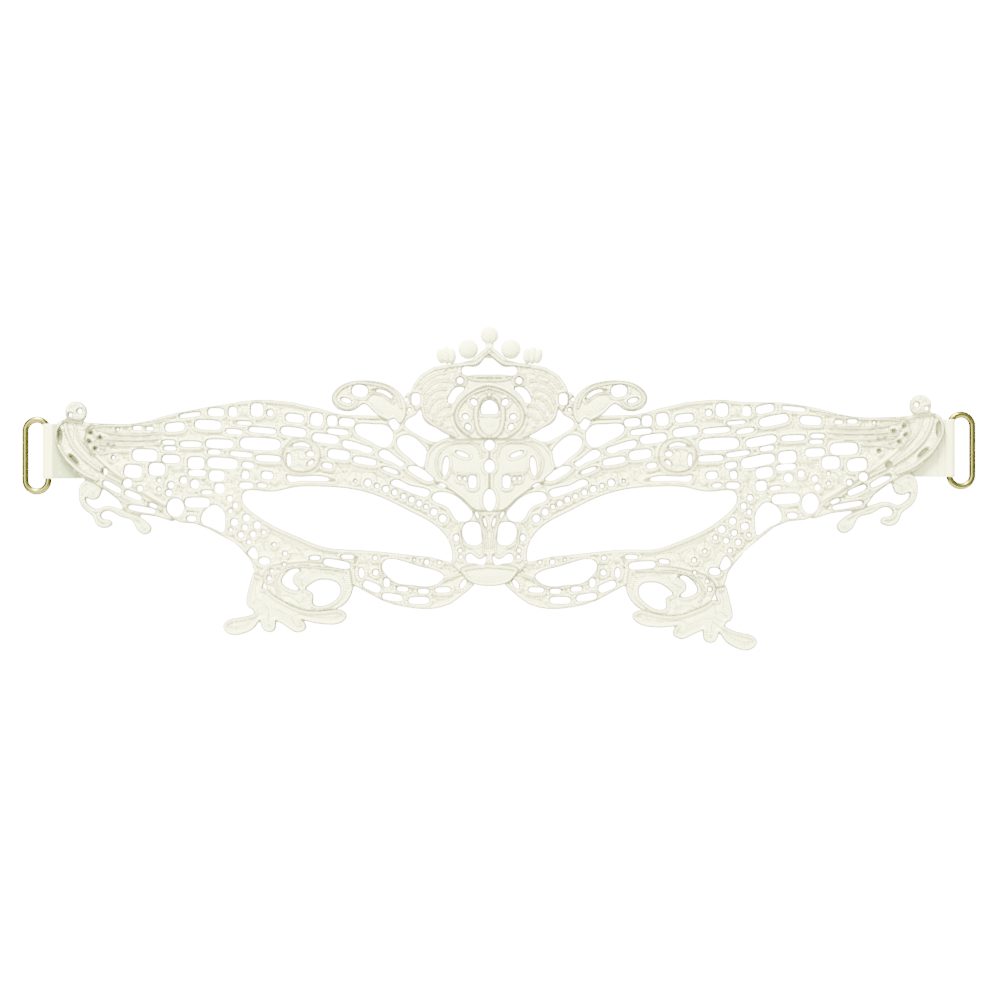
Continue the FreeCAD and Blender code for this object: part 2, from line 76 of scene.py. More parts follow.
class Thread:
    def __init__(self, tree, socket):
        self.tree = tree
        self.socket = socket

    def maths(self, operation, first, second=None):
        node = self.tree.nodes.new("ShaderNodeMath")
        node.operation = operation
        for i, value in enumerate((first, second)):
            if isinstance(value, Thread):
                self.tree.links.new(value.socket, node.inputs[i])
            elif value is not None:
                node.inputs[i].default_value = value
        return Thread(self.tree, node.outputs[0])

    def __add__(self, other):
        return self.maths("ADD", self, other)

    def __radd__(self, other):
        return self.maths("ADD", other, self)

    def __sub__(self, other):
        return self.maths("SUBTRACT", self, other)

    def __rsub__(self, other):
        return self.maths("SUBTRACT", other, self)

    def __mul__(self, other):
        return self.maths("MULTIPLY", self, other)

    def __rmul__(self, other):
        return self.maths("MULTIPLY", other, self)

    def __truediv__(self, other):
        return self.maths("DIVIDE", self, other)

    def sine(self):
        return self.maths("SINE", self)

    def least(self, other):
        return self.maths("MINIMUM", self, other)

    def most(self, other):
        return self.maths("MAXIMUM", self, other)

    def above(self, other):
        return self.maths("GREATER_THAN", self, other)

    def size(self):
        return self.maths("ABSOLUTE", self)


class Finish:
    # one material; self.node adds any shader node
    def __init__(self, name, **fixed):
        self.material = bpy.data.materials.new(name)
        self.material.use_nodes = True
        self.tree = self.material.node_tree
        self.shader = self.tree.nodes["Principled BSDF"]
        for socket, value in fixed.items():
            self.shader.inputs[socket.replace("_", " ")].default_value = value

    def node(self, kind, settings=None, inputs=None, out=0):
        node = self.tree.nodes.new(kind)
        for key, value in (settings or {}).items():
            if key == "stops":
                ramp = node.color_ramp
                while len(ramp.elements) < len(value):
                    ramp.elements.new(0.5)
                for stop, (place, colour) in zip(ramp.elements, value):
                    stop.position = place
                    stop.color = colour
            else:
                setattr(node, key, value)
        for key, value in (inputs or {}).items():
            if isinstance(value, Thread):
                self.tree.links.new(value.socket, node.inputs[key])
            else:
                node.inputs[key].default_value = value
        return Thread(self.tree, node.outputs[out])

    def place(self):
        return self.node("ShaderNodeTexCoord", out="Object")

    def along(self, place, axis):
        return self.node("ShaderNodeSeparateXYZ", None, {0: place}, out=axis)

    def noise(self, place, scale, detail):
        inputs = {"Vector": place, "Scale": scale, "Detail": detail}
        return self.node("ShaderNodeTexNoise", None, inputs, out="Fac")

    def read(self, name):
        return self.node("ShaderNodeAttribute", {"attribute_name": name}, out="Fac")

    def blendColours(self, share, first, second):
        return self.node("ShaderNodeMix", {"data_type": "RGBA"}, {0: share, 6: first, 7: second}, out=2)

    def feed(self, socket, value):
        self.tree.links.new(value.socket, self.shader.inputs[socket])

    def raiseBy(self, height, distance, strength=1.0):
        inputs = {"Height": height, "Distance": distance, "Strength": strength}
        self.feed("Normal", self.node("ShaderNodeBump", None, inputs, out="Normal"))


# finishes: how the thread, cloth and wire look

laceColours = {
    "cord": (0.95, 0.94, 0.68, 1),
    "ground": (0.86, 0.86, 0.58, 1),
    # colour of the painted shade in the furrows and at the edges of openings
    "grooveShade": (0.13, 0.14, 0.08, 1),
    "satin": (0.78, 0.83, 0.58, 1),
    "aged": (0.90, 0.87, 0.56, 1),
}
laceThread = {
    "pitch": 0.62,         # length of one stitch along a cord, mm
    "cordWidth": 1.15,     # mm
    "bump": 0.00022,       # height of a stitch, m
    "brinkDark": 1.25,     # painted shade at the very edge of an opening, and how fast it fades inwards
    "brinkSharp": 2.0,
    "wander": 2.2,         # how far the stitches drift out of step
    "wanderScale": 900.0,
    "fuzzScale": 2600.0,
    "patchScale": 34.0,
    "patchStart": 0.42,
}


def laceFinish():
    f = Finish("ivoryLaceThread", Roughness=0.62, Sheen_Weight=0.18, Sheen_Roughness=0.45)
    run = f.read("stitchRun")
    across = f.read("rowAcross")
    satin = f.read("satinWork")
    place = f.place()
    wander = f.noise(place, laceThread["wanderScale"], 2.0)
    stitch = (run * (2 * math.pi / laceThread["pitch"]) + wander * laceThread["wander"]).sine() * 0.5 + 0.5
    row = (across * (math.pi / laceThread["cordWidth"])).sine().size()
    onCord = 1 - (across / laceThread["cordWidth"]).above(1.0)
    fuzz = f.noise(place, laceThread["fuzzScale"], 3.0)
    patch = f.noise(place, laceThread["patchScale"], 2.0)
    body = f.blendColours(satin, laceColours["ground"], laceColours["satin"])
    body = f.blendColours(onCord, body, laceColours["cord"])
    brinkShade = (laceThread["brinkDark"] - across * laceThread["brinkSharp"]).most(0.0).least(1.0)
    # painted shade: the furrows between rows and stitches, and the very edge of each opening, are darkened in
    # the colour
    furrowShade = (1 - row) * (1 - satin * (1 - onCord)) * 0.55 + (1 - stitch) * 0.20
    grooveShade = brinkShade * 0.8 + furrowShade * (0.7 + wander * 0.5)
    colour = f.blendColours(grooveShade.least(1.0), body, laceColours["grooveShade"])
    colour = f.blendColours((patch - laceThread["patchStart"]).most(0.0), colour, laceColours["aged"])
    f.feed("Base Color", colour)
    f.feed("Roughness", 0.5 + fuzz * 0.22)
    f.raiseBy(stitch * 0.7 + fuzz * 0.35, laceThread["bump"], 0.9)
    return f.material


tabCloth = {
    "weave": 0.00042,          # width of one woven thread, m
    "bump": 0.00008,
    "left": (0.32, 0.38, 0.25, 1),
    "right": (0.92, 0.95, 0.68, 1),
    "worn": (0.26, 0.30, 0.19, 1),
    "rolledHighlight": (0.86, 0.88, 0.54, 1),
    "creaseShade": (0.26, 0.28, 0.16, 1),
    "creaseAt": 0.1337,        # m from the middle on the left, and how much further out on the right
    "rightShift": 0.0057,
    "creaseFade": 3.2,
}


def tabFinish():
    # woven strip, greener and duller on the left, with a painted highlight on the rolled edge beside a line
    # of painted shade at the crease
    f = Finish("tabCloth", Roughness=0.7, Sheen_Weight=0.15)
    place = f.place()
    x = f.along(place, 0)
    z = f.along(place, 2)
    turn = 2 * math.pi / tabCloth["weave"]
    weave = ((x * turn).sine() * (z * turn).sine()) * 0.5 + 0.5
    patch = f.noise(place, 160.0, 4.0)
    onRight = x.above(0.0)
    fromCrease = (x.size() - onRight * tabCloth["rightShift"] - tabCloth["creaseAt"]) * 1000.0
    # the rolled strip past the crease gets a painted highlight, and the crease line a painted shade
    rolledHighlight = fromCrease.above(0.0)
    creaseShade = (1 - fromCrease.size() * tabCloth["creaseFade"]).most(0.0)
    cloth = f.blendColours(onRight, tabCloth["left"], tabCloth["right"])
    worn = f.blendColours(weave * 0.4 + patch * 0.6 + onRight * 0.3, tabCloth["worn"], cloth)
    pale = f.blendColours(rolledHighlight * 0.8, worn, tabCloth["rolledHighlight"])
    f.feed("Base Color", f.blendColours(creaseShade * 0.75, pale, tabCloth["creaseShade"]))
    f.feed("Roughness", 0.6 + patch * 0.2)
    f.raiseBy(weave + patch * 0.5, tabCloth["bump"], 0.8)
    return f.material


seamThread = {
    "dark": (0.40, 0.44, 0.29, 1),
    "light": (0.60, 0.64, 0.44, 1),
    "twistScale": 900.0,
    "bump": 0.00005,
}


def seamFinish():
    f = Finish("seamThread", Roughness=0.55, Sheen_Weight=0.2)
    twist = f.node("ShaderNodeTexWave", {"bands_direction": "DIAGONAL"},
                   {"Vector": f.place(), "Scale": seamThread["twistScale"]}, out="Fac")
    f.feed("Base Color", f.blendColours(twist, seamThread["dark"], seamThread["light"]))
    f.raiseBy(twist, seamThread["bump"], 0.8)
    return f.material


brassWire = {
    # painted dark reflection for the flanks and painted highlight for the crown
    "darkFlankReflection": (0.010, 0.009, 0.002, 1),
    "crownHighlight": (0.17, 0.16, 0.045, 1),
    "middle": 0.00158,         # depth of the wire's own middle, m
    "crownReach": 0.0009,      # how far in front of it the painted highlight on the crown is at its brightest
    "drawLines": (4000.0, 4000.0, 260.0),
    "bump": 0.00003,
}


def ringFinish():
    f = Finish("brassWirePaintedSheen", Metallic=1.0, Roughness=0.24, Coat_Weight=0.0)
    place = f.place()
    cloud = f.noise(place, 240.0, 5.0)
    drawn = f.node("ShaderNodeMapping", None, {"Vector": place, "Scale": brassWire["drawLines"]})
    lines = f.noise(drawn, 1.0, 2.0)
    # painted highlight on the crown of the wire and painted dark reflection on its flanks, with random tone
    # from the cloud noise
    crown = ((brassWire["middle"] - f.along(place, 1)) * (1 / brassWire["crownReach"])).most(0.0).least(1.0)
    highlightAndTone = (crown * crown * crown + (cloud - 0.5) * 0.3).most(0.0).least(1.0)
    f.feed("Base Color", f.blendColours(highlightAndTone, brassWire["darkFlankReflection"], brassWire["crownHighlight"]))
    f.feed("Roughness", 0.16 + cloud * 0.2)
    f.raiseBy(lines * 0.3 + cloud * 0.7, brassWire["bump"], 0.5)
    return f.material


laceMaterial = laceFinish()
tabMaterial = tabFinish()
seamMaterial = seamFinish()
ringMaterial = ringFinish()
print("finishes ready")


# lace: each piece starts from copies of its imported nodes, fused, softened and then worked in relief

lace = {
    "centreGrid": 0.27,       # grid of the fused shape, mm
    "sideGrid": 0.335,
    "swell": 0.05,            # each node grows by this before it is fused with its neighbours
    "foldReach": 0.25,        # a wing's inner edge is this near the fold line
    "foldLap": 0.4,           # and is moved this far past it, so that it fuses with the brow
    "softening": 3,
    "sampleEvery": 0.22,
    "sharedWithin": 0.16,     # outlines this near each other are one outline
    "foldClear": 0.3,         # no cord follows the fold line
    "cordWidth": 1.15,
    "cordRise": 0.55,
    "innerRise": 0.34,
    "groundDrop": 0.34,
    "satinFrom": 1.28,        # depth of the front from which it is worked in satin stitch
    "satinOver": 0.2,
    "satinRise": 0.42,
    "satinReach": 0.9,
    "satinBlur": 14,
    "dotRise": 0.55,
    "rimClear": 0.25,         # laid cords stop this far from an outline
    "laidBase": 0.08,
    "laidSatin": 0.4,         # how much of the satin look stays under a laid cord
    "reliefBlur": 1,
    "reliefShare": 0.6,
    "backShare": 0.35,        # relief on the back as a share of the relief in front
    "frontFrom": 0.45,        # depth from which the relief counts as front, and as back
    "frontOver": 0.4,
    "backFrom": 0.35,
    "backOver": 0.3,
}
shieldKnots = {"nearest": 9.5, "farthest": 24.5, "bottom": 34.0, "top": 56.0, "rise": 0.5, "satin": 0.3,
               "rimClear": 0.8, "scale": (0.9, 1.3)}
pattern = {
    "wingStretch": 0.11,
    "wingLift": 2.0,
    "liftEase": 12,           # how far past the fold, and above the middle, the lift takes to come in
    "liftHeight": 20,
    "cheekSag": 0.14,
    "sagFrom": 44,
    "sagTop": 14,
    "sagHeight": 20,
    "fadePast": 8,            # the sag fades out past the fold and above the cheek's top
    "fadeBottom": -16,
    "fadeHeight": 6,
}
satinNodes = ("nose_saddle", "crown_medallion", "crown_shield", "heart_scroll", "brow_curl", "brow_rosette",
              "cheek_scroll", "cheek_leaves", "wing_edge", "wing_curl", "tip_sprig")


def nodeMesh(nodeName):
    bm = bmesh.new()
    bm.from_mesh(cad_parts[nodeName].data)
    bmesh.ops.remove_doubles(bm, verts=bm.verts, dist=0.000002)
    return bm


def rimSamples(nodeName):
    # follow the outlines of the node's flat back: x, z and length so far, all in mm
    bm = nodeMesh(nodeName)
    bm.normal_update()
    rim = []
    for edge in bm.edges:
        if max(abs(v.co.y) for v in edge.verts) > 0.00001 or len(edge.link_faces) != 2:
            continue
        facing = sorted(abs(face.normal.y) for face in edge.link_faces)
        if facing[0] < 0.5 < facing[1]:
            rim.append(edge)
    left = set(rim)
    samples = []
    while left:
        edge = left.pop()
        run = 0.0
        start = edge.verts[0]
        while edge:
            end = edge.other_vert(start)
            length = edge.calc_length() / mm
            steps = max(1, int(length / lace["sampleEvery"]))
            for i in range(steps):
                spot = start.co.lerp(end.co, i / steps) / mm
                samples.append((spot.x, spot.z, run + length * i / steps))
            run += length
            onward = [e for e in end.link_edges if e in left]
            edge = onward[0] if onward else None
            if edge:
                left.discard(edge)
            start = end
    bm.free()
    return samples


def eased(amount):
    return min(1.0, max(0.0, amount))


def onSide(side, d, z):
    # a point of the half pattern on one side: the right wing is a little longer and its cheek hangs lower
    x = d
    if side > 0:
        far = max(0.0, d - hingeX)
        x = d + pattern["wingStretch"] * far
        z += pattern["wingLift"] * eased(far / pattern["liftEase"]) * eased(z / pattern["liftHeight"])
        hang = eased((pattern["sagTop"] - z) / pattern["sagHeight"])
        above = eased((z - pattern["fadeBottom"]) / pattern["fadeHeight"])
        fade = 1 - eased(far / pattern["fadePast"]) * above
        z -= pattern["cheekSag"] * max(0.0, min(d, hingeX) - pattern["sagFrom"]) * hang * fade
    return side * x, z


def cordPath(side, points):
    # a smooth line through the given points, stepped finely: x, z, length so far
    path = []
    run = 0.0
    spots = [Vector((*onSide(side, d, z), 0)) for d, z in points]
    spots = [spots[0] * 2 - spots[1]] + spots + [spots[-1] * 2 - spots[-2]]
    for a, b, c, d in zip(spots, spots[1:], spots[2:], spots[3:]):
        steps = max(2, int((c - b).length / lace["sampleEvery"]))
        bent = interpolate_bezier(b, b + (c - a) / 6, c - (d - b) / 6, c, steps + 1)
        for near, far in zip(bent, bent[1:]):
            path.append((near.x, near.y, run))
            run += (far - near).length
    return path


def treeOf(samples):
    tree = KDTree(len(samples))
    for i, (x, z, run) in enumerate(samples):
        tree.insert((x, 0, z), i)
    tree.balance()
    return tree


rims = {}
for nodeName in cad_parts:
    if not nodeName.startswith(("ring", "tab")):
        rims[nodeName] = rimSamples(nodeName)
trees = {nodeName: treeOf(samples) for nodeName, samples in rims.items()}
print("outlines followed:", sum(len(s) for s in rims.values()))


def cordLines(nodes):
    # the outlines that carry a cord: those shared by two grounds, or lying on a side fold, carry none
    kept = []
    for nodeName in nodes:
        satin = nodeName.startswith(satinNodes)
        for x, z, run in rims[nodeName]:
            if abs(abs(x) - hingeX) < lace["foldClear"]:
                continue
            shared = [other for other, tree in trees.items()
                      if other != nodeName and tree.find((x, 0, z))[2] < lace["sharedWithin"]]
            if shared and not satin:
                continue
            if shared and any(other.startswith(satinNodes) and other < nodeName for other in shared):
                continue
            kept.append((x, z, run))
    return kept


def evenOut(values, pairs, rounds, share=1.0):
    # soften values between neighbouring points of the mesh
    count = len(values)
    weight = np.bincount(pairs.ravel(), minlength=count)
    for i in range(rounds):
        around = np.bincount(pairs[:, 0], values[pairs[:, 1]], count)
        around += np.bincount(pairs[:, 1], values[pairs[:, 0]], count)
        values = values + (around / np.maximum(weight, 1) - values) * share
    return values


def fusedBlank(name, nodes, grid):
    # copies of the nodes, swollen until they meet, fused on one grid and softened
    joined = bmesh.new()
    for nodeName in nodes:
        bm = nodeMesh(nodeName)
        bm.normal_update()
        for v in bm.verts:
            v.co += v.normal * lace["swell"] * mm
            if nodeName.startswith("wing_panel") and abs(abs(v.co.x) / mm - hingeX) < lace["foldReach"]:
                v.co.x = math.copysign((hingeX - lace["foldLap"]) * mm, v.co.x)
        part = bpy.data.meshes.new("part")
        bm.to_mesh(part)
        bm.free()
        joined.from_mesh(part)
        bpy.data.meshes.remove(part)
    blank = keepMesh(joined, name + "_blank")
    fuse = blank.modifiers.new("fuse", "REMESH")
    fuse.mode = "VOXEL"
    fuse.voxel_size = grid * mm
    fused = bpy.data.meshes.new_from_object(blank.evaluated_get(bpy.context.evaluated_depsgraph_get()))
    bpy.data.objects.remove(blank)
    bm = bmesh.new()
    bm.from_mesh(fused)
    bpy.data.meshes.remove(fused)
    for i in range(lace["softening"]):
        bmesh.ops.smooth_vert(bm, verts=bm.verts, factor=0.5,
                              use_axis_x=True, use_axis_y=True, use_axis_z=True)
    return keepMesh(bm, name)


def surfaceOf(piece, nodes):
    # every point of the piece, how far it is from the nearest corded outline, and where along that
    count = len(piece.data.vertices)
    spots = np.zeros(count * 3)
    piece.data.vertices.foreach_get("co", spots)
    spots = spots.reshape(-1, 3) / mm
    pairs = np.zeros(len(piece.data.edges) * 2, np.int32)
    piece.data.edges.foreach_get("vertices", pairs)
    traced = cordLines(nodes)
    tree = treeOf(traced)
    runs = np.zeros(count)
    away = np.zeros(count)
    for i in range(count):
        spot, index, distance = tree.find((spots[i, 0], 0, spots[i, 2]))
        runs[i] = traced[index][2]
        away[i] = distance
    return {"spots": spots, "pairs": pairs.reshape(-1, 2), "runs": runs, "away": away}


def raiseStitches(work, dots, hatch):
    # a cord along every outline, sunk rows behind it, padded satin stitch where thick, domes at the dots
    spots, pairs, away = work["spots"], work["pairs"], work["away"]
    width = lace["cordWidth"]
    turn = away / width
    row = np.floor(turn)
    mound = np.sqrt(np.clip(1 - (2 * (turn - row) - 1) ** 2, 0, 1))
    satin = evenOut(np.clip((-spots[:, 1] - lace["satinFrom"]) / lace["satinOver"], 0, 1), pairs, 2)
    filled = np.zeros(len(spots))
    for x, z, radius in dots:
        near = np.sqrt((spots[:, 0] - x) ** 2 + (spots[:, 2] - z) ** 2) / radius
        filled = np.maximum(filled, np.sqrt(np.clip(1 - near ** 2, 0, 1)))
    dotted = np.clip(filled * 3, 0, 1)
    ground = mound * lace["innerRise"] - lace["groundDrop"]
    plump = lace["satinRise"] * (1 - np.exp(-np.maximum(away - width, 0) / lace["satinReach"]))
    plump = np.where(away > width, evenOut(plump, pairs, lace["satinBlur"]), plump)
    inner = ground * (1 - satin) + plump * satin
    inner = inner * (1 - dotted) + lace["dotRise"] * filled
    work.update(rise=np.where(row < 1, mound * lace["cordRise"], inner), satin=satin, dotted=dotted)
    if hatch:
        slanted = spots[:, 0] * math.cos(hatch) * np.sign(spots[:, 0] + 0.001) + spots[:, 2] * math.sin(hatch)
        work["runs"] = np.where((satin > 0.5) & (away > width), slanted, work["runs"])


def layCords(work, cords):
    spots, away, rise, runs, satin = (work[key] for key in ("spots", "away", "rise", "runs", "satin"))
    for half, height, path in cords:
        line = treeOf(path)
        reach = np.array([spot[0] for spot in path])
        close = np.where((spots[:, 0] > reach.min() - 2) & (spots[:, 0] < reach.max() + 2))[0]
        for i in close:
            spot, index, distance = line.find((spots[i, 0], 0, spots[i, 2]))
            if distance < half and away[i] > lace["rimClear"]:
                crest = math.sqrt(1 - (distance / half) ** 2) * height
                rise[i] = max(rise[i], crest + lace["laidBase"])
                runs[i] = path[index][2]
                away[i] = min(away[i], abs(half - distance) * lace["cordWidth"] / (2 * half))
                satin[i] *= lace["laidSatin"]


def knotShield(work):
    # the shield beside the medallion is worked in loose knots
    spots, away = work["spots"], work["away"]
    reach = np.abs(spots[:, 0])
    knotty = (reach > shieldKnots["nearest"]) & (reach < shieldKnots["farthest"])
    knotty &= (spots[:, 2] > shieldKnots["bottom"]) & (spots[:, 2] < shieldKnots["top"])
    wide, tall = shieldKnots["scale"]
    for i in np.where(knotty & (away > shieldKnots["rimClear"] * lace["cordWidth"]))[0]:
        knot = noise.noise((spots[i, 0] * wide, 0, spots[i, 2] * tall))
        work["rise"][i] += knot * shieldKnots["rise"]
        away[i] += knot * lace["cordWidth"]
        work["satin"][i] *= shieldKnots["satin"]


def workLace(name, nodes, grid, dots=(), cords=(), hatch=0.0):
    piece = fusedBlank(name, nodes, grid)
    work = surfaceOf(piece, nodes)
    raiseStitches(work, dots, hatch)
    layCords(work, cords)
    knotShield(work)
    spots = work["spots"]
    rise = evenOut(work["rise"], work["pairs"], lace["reliefBlur"], lace["reliefShare"])
    front = np.clip((-spots[:, 1] - lace["frontFrom"]) / lace["frontOver"], 0, 1)
    back = np.clip((spots[:, 1] + lace["backFrom"]) / lace["backOver"], 0, 1)
    spots[:, 1] += -rise * front + rise * lace["backShare"] * back
    piece.data.vertices.foreach_set("co", (spots * mm).astype(np.float32).ravel())
    marks = {"stitchRun": work["runs"], "rowAcross": work["away"],
             "satinWork": np.maximum(work["satin"], work["dotted"])}
    for mark, values in marks.items():
        piece.data.attributes.new(mark, "FLOAT", "POINT").data.foreach_set("value", values.astype(np.float32))
    piece.data.update()
    wearFinish(piece, laceMaterial)
    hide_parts(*nodes)
    area = sum(p.area for p in piece.data.polygons) / 2    # half of the whole skin, relief and walls included
    low = spots.min(0) * mm
    high = spots.max(0) * mm
    flat = (float(high[2] - low[2]), float(high[0] - low[0]))
    print(name, len(piece.data.polygons), "faces, area", round(area * 1e4, 2), "cm2")
    return piece, flat, area


centreNodes = ["nose_saddle", "nose_stem", "crown_medallion", "crown_shield", "heart_scroll_left",
               "heart_scroll_right", "brow_curl_left", "brow_curl_right"]
centreCords = {    # half width, height, and points of the half pattern
    "medallionRing": (0.95, 0.62, ((0, 46.8), (2.4, 45.9), (3.9, 43), (4.1, 39.4), (3.3, 36), (1.8, 34.4),
                                   (0, 33.9))),
    "medallionBand": (0.6, 0.4, ((0, 48.9), (5, 47.3), (8.6, 44.2), (10.1, 40.5), (9, 37), (6, 34.6))),
    "crownCord": (0.5, 0.5, ((0, 52.5), (4, 52.5), (7.2, 53.2))),
    "crownCordLower": (0.5, 0.45, ((0, 51.2), (4, 51.3), (6.8, 52))),
    "ogee": (0.75, 0.55, ((0, 59.9), (2.3, 57.9), (4.8, 56.4), (8.6, 56), (12, 55.6))),
    "eyelet": (0.5, 0.45, ((9, 53), (10.7, 51.9), (10.7, 50.2), (9, 49.3), (7.3, 50.2), (7.3, 51.9),
                           (9, 53))),
    "shieldLow": (0.6, 0.5, ((20.4, 43), (19.6, 40), (15.8, 36.9), (12.4, 34.8), (9.6, 34.2))),
    "curlA": (0.5, 0.4, ((12.6, 53.6), (16, 53), (19, 51.4), (21.6, 48.6))),
    "curlB": (0.5, 0.4, ((12.4, 51), (15, 51), (18, 49.6), (20.4, 47))),
    "curlC": (0.5, 0.4, ((13.6, 48.6), (16, 48.3), (18.6, 46.6), (19.9, 44))),
    "curlD": (0.5, 0.4, ((13.4, 46), (15.6, 45.8), (17.8, 43.8), (18.9, 41.2))),
    "curlE": (0.5, 0.4, ((12.2, 43.4), (14.4, 43), (16.4, 40.8), (17.2, 39))),
    "curlF": (0.5, 0.4, ((11.6, 40.8), (13.4, 40), (14.8, 38))),
    "heartEdge": (0.5, 0.35, ((2.4, 28), (3.6, 31), (7.4, 32.6), (12.4, 31.6), (15.6, 28.6), (16.2, 25),
                              (14.8, 21.6))),
    "heartUnder": (0.4, 0.4, ((3.8, 22.7), (6.6, 22.5), (10.6, 22.9), (12, 24.4))),
    "fanOuter": (0.42, 0.45, ((5, 12), (3.4, 8), (2.1, 3), (1.7, -1.6))),
    "fanInner": (0.42, 0.45, ((2.6, 12), (2.3, 9), (1, 4.6), (0.6, 0))),
    "stemSide": (0.5, 0.45, ((9.4, 8.4), (9.2, 5), (8.6, 1.6), (7.8, -0.8))),
    "browCurl": (0.6, 0.5, ((27, 43), (28.4, 46.6), (31, 48.8), (34, 49.8), (40, 50.5), (44.6, 49.2),
                            (47.3, 46), (46, 43.7), (43.4, 42.7), (41.2, 43.6), (40.3, 45))),
    "browFill": (0.4, 0.4, ((29.4, 44), (30.8, 46.2), (33.6, 47.2), (37, 47))),
}
centreDots = []
for word, side in sides:
    centreDots += [(*onSide(side, d, z), r) for d, z, r in ((8, 25.5, 3.8), (3.3, -0.8, 2.4), (34, 44, 3.0))]
centreDots.append((0, 38.8, 2.5))
centreLines = [(half, height, cordPath(side, points)) for half, height, points in centreCords.values()
               for word, side in sides]
centreLace, flat, area = workLace("centre_lace", centreNodes, lace["centreGrid"], centreDots, centreLines,
                                  hatch=1.1)
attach(centreLace, "face_panel")

sideDots = (    # x, z and radius in the half pattern
    (58.5, 27, 2.5), (65.5, 20.6, 1.6), (72, 22.5, 1.7), (78, 22, 1.9), (95, 25.3, 2.1), (106.5, 26.2, 1.8),
    (103.5, 20.2, 2), (91.6, 17.3, 1.9), (88.4, 11.3, 1.8), (82.6, 15, 1.8), (113.4, 24.2, 2),
    (75.2, 41.7, 1.7), (38.5, -3, 1.8), (57, -9.6, 2.5), (57.4, -15.4, 1.9), (126.3, 43, 1.6),
    (121.6, 17.4, 2.7), (105.5, 6.2, 1.9), (116.2, 7.4, 1.3),
)
sideCords = {
    "denseA": (0.5, 0.36, ((98, 39.4), (104, 38), (110, 37.5), (118, 37.3), (123, 36.6))),
    "denseB": (0.5, 0.36, ((100.8, 35), (107, 34.7), (114, 34.9), (121, 36.6))),
    "denseC": (0.5, 0.36, ((100.8, 33.5), (107, 33.1), (114, 33.2), (118, 33.6))),
    "denseD": (0.5, 0.36, ((100.8, 31.8), (107, 31.4), (113, 31.3), (119, 31.8))),
    "denseE": (0.5, 0.36, ((110.5, 29.4), (115, 29.4), (119, 28.8), (121.4, 29.6))),
    "edgeOuter": (0.8, 0.8, ((124.6, 38.6), (129, 39), (131.6, 37.6), (132.3, 34.6), (131.4, 31),
                             (129.6, 27.8), (127, 25.2), (123.6, 22.6), (119.6, 20.8))),
    "edgeInner": (0.75, 0.75, ((129.6, 38.2), (128.8, 34.8), (127, 31), (124.2, 27.8), (120.8, 25),
                               (116.4, 22.2), (112, 19.8), (106, 15.8), (100, 11.8))),
    "edgeLow": (0.5, 0.42, ((118.6, 18.4), (113, 15), (109, 12.9), (103, 10.6))),
    "tipTwistA": (0.55, 0.5, ((126.6, 37.6), (125.6, 34), (123.4, 30.6), (120.6, 28))),
    "tipTwistB": (0.45, 0.4, ((124, 36.6), (121, 34.6), (118.4, 32.6), (114.4, 31.6))),
    "tipTwistC": (0.45, 0.4, ((123.6, 33.4), (120.6, 31.6), (117.4, 30.2))),
    "cheekBand": (0.5, 0.4, ((45, -6.6), (52, -6), (58, -5.6), (63.6, -7.2), (65.4, -10.6), (64, -13.6))),
    "loopCord": (0.5, 0.4, ((8, -7.6), (13.6, -9.8), (17, -12), (21, -12.3), (25, -11.6), (30, -10.7),
                            (33, -8.2), (33.6, -5))),
    "stemRib": (0.5, 0.4, ((71, -8), (72.6, -12), (73, -17))),
}
stemRibs = {"count": 9, "every": 1.1, "half": 0.35, "height": 0.3,
            "inner": (69.6, -8.6), "outer": (73.4, -9.4)}
for i in range(stemRibs["count"]):    # short ribs of satin stitch across the cheek stem
    rib = tuple((x, z - i * stemRibs["every"]) for x, z in (stemRibs["inner"], stemRibs["outer"]))
    sideCords["rib%d" % i] = (stemRibs["half"], stemRibs["height"], rib)


sideMotifs = ("brow_band", "brow_rosette", "lower_rim", "under_eye_loop", "cheek_scroll", "cheek_net",
              "wing_panel", "wing_edge", "wing_curl", "tip_sprig")
for word, side in sides:
    nodes = [motif + "_" + word for motif in sideMotifs]
    dots = [(*onSide(side, d, z), r) for d, z, r in sideDots]
    lines = [(half, height, cordPath(side, points)) for half, height, points in sideCords.values()]
    sideLace, flat, area = workLace("side_lace_" + word, nodes, lace["sideGrid"], dots, lines)
    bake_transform(sideLace)
    leaves, flat, area = workLace("cheek_leaves_worked_" + word, ["cheek_leaves_" + word], lace["centreGrid"])
    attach(leaves, "face_panel")


# crown beads: balls of wound thread on a short stem

beadRow = {
    "places": ((0, 65, 2.7), (6.5, 60.8, 3.0), (-6.5, 60.8, 3.0)),    # x, z, radius
    "depth": 0.55,
    "middle": -0.7,
    "outer": (13.2, 58.9),
    "lobes": (                  # shift, lift, width, height
        (-1.7, -0.2, 1.25, 2.45),
        (0, 0, 1.35, 2.7),
        (1.7, -0.2, 1.25, 2.35),
    ),
    "lobeDepth": 1.4,
    "lean": 0.1,
    "fan": 0.06,
    "stem": {"z": 61, "low": 1.5, "high": 1.1, "length": 6, "depth": 0.6},
    "slant": 0.35,
    "row": 2.6,
}


